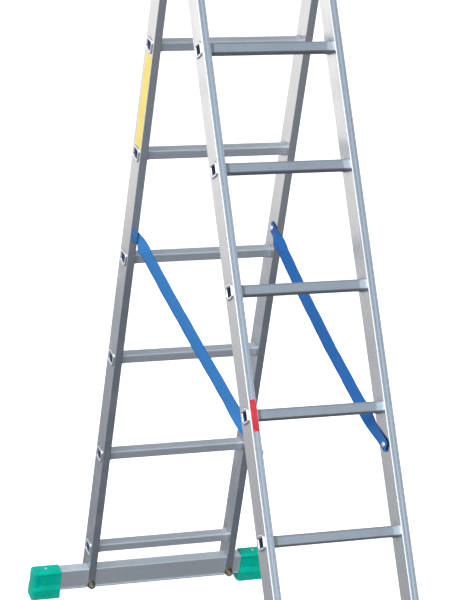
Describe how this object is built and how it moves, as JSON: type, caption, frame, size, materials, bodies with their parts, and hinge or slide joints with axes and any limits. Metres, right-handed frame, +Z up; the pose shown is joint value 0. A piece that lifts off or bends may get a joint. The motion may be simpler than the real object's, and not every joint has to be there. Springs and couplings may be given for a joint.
{
  "type": "combination ladder",
  "caption": "Aluminium combination ladder standing open as an A-frame: hinged front section, stabiliser bar on plastic feet, and webbing straps that limit its spread.",
  "frame": {"origin": "on the floor, at the centre of the open ladder's box seen from above", "axes": "+Z up, +X along the rungs to the right of someone climbing the front section, +Y from the front section to the rear section"},
  "size_m": [0.643, 1.3662, 1.776],
  "materials": {
    "stile_aluminium": "extruded mill finish, fine lines along the length",
    "rung_aluminium": "extruded mill finish, ribbed treads",
    "zinc_steel": "bright zinc plated",
    "yellow_zinc": "yellow passivated zinc plate",
    "rivet_metal": "bright, domed",
    "green_plastic": "moulded, fine texture",
    "blue_webbing": "woven polyester webbing",
    "yellow_film": "satin adhesive film",
    "red_film": "satin adhesive film"
  },
  "bodies": {
    "rear_section": {"rear_right_stile": "stile_aluminium", "rear_left_stile": "stile_aluminium", "rear_rung_1": "rung_aluminium", "rear_rung_2": "rung_aluminium", "rear_rung_3": "rung_aluminium", "rear_rung_4": "rung_aluminium", "rear_rung_5": "rung_aluminium", "rear_rung_6": "rung_aluminium", "rear_rung_7": "rung_aluminium", "rear_right_top_cap": "green_plastic", "rear_left_top_cap": "green_plastic", "stabiliser_bar": "stile_aluminium", "right_stabiliser_foot": "green_plastic", "left_stabiliser_foot": "green_plastic", "stabiliser_foot_rivets": "rivet_metal", "stabiliser_bolts": "zinc_steel", "stabiliser_washers": "yellow_zinc", "stabiliser_nuts": "yellow_zinc", "right_hinge_plate": "zinc_steel", "left_hinge_plate": "zinc_steel", "hinge_plate_rivets": "rivet_metal", "right_hinge_pin": "zinc_steel", "left_hinge_pin": "zinc_steel", "rear_strap_rivets": "rivet_metal", "side_sticker": "yellow_film", "right_strap": "blue_webbing", "left_strap": "blue_webbing"},
    "front_section": {"front_right_stile": "stile_aluminium", "front_left_stile": "stile_aluminium", "front_rung_1": "rung_aluminium", "front_rung_2": "rung_aluminium", "front_rung_3": "rung_aluminium", "front_rung_4": "rung_aluminium", "front_rung_5": "rung_aluminium", "front_rung_6": "rung_aluminium", "front_rung_7": "rung_aluminium", "front_right_top_cap": "green_plastic", "front_left_top_cap": "green_plastic", "front_right_foot": "green_plastic", "front_left_foot": "green_plastic", "front_foot_rivets": "rivet_metal", "right_hinge_hook": "zinc_steel", "left_hinge_hook": "zinc_steel", "hinge_hook_rivets": "rivet_metal", "catch_rivets": "rivet_metal", "front_strap_rivets": "rivet_metal", "face_sticker": "red_film"},
    "right_catch": {"right_catch": "zinc_steel"},
    "left_catch": {"left_catch": "zinc_steel"}
  },
  "joints": [
    {"name": "a_frame_fold", "type": "hinge", "parent": "rear_section", "child": "front_section", "pos_m": [0.027, 0.00472, 1.66495], "axis": [1, 0, 0], "range_deg": [0, 40.95], "deforming": ["left_strap", "right_strap"]},
    {"name": "right_catch_turn", "type": "hinge", "parent": "front_section", "child": "right_catch", "pos_m": [0.1957, -0.00728, 1.62674], "axis": [-1, 0, 0], "range_deg": [0, 60]},
    {"name": "left_catch_turn", "type": "hinge", "parent": "front_section", "child": "left_catch", "pos_m": [-0.1417, -0.00728, 1.62674], "axis": [-1, 0, 0], "range_deg": [0, 60]}
  ]
}
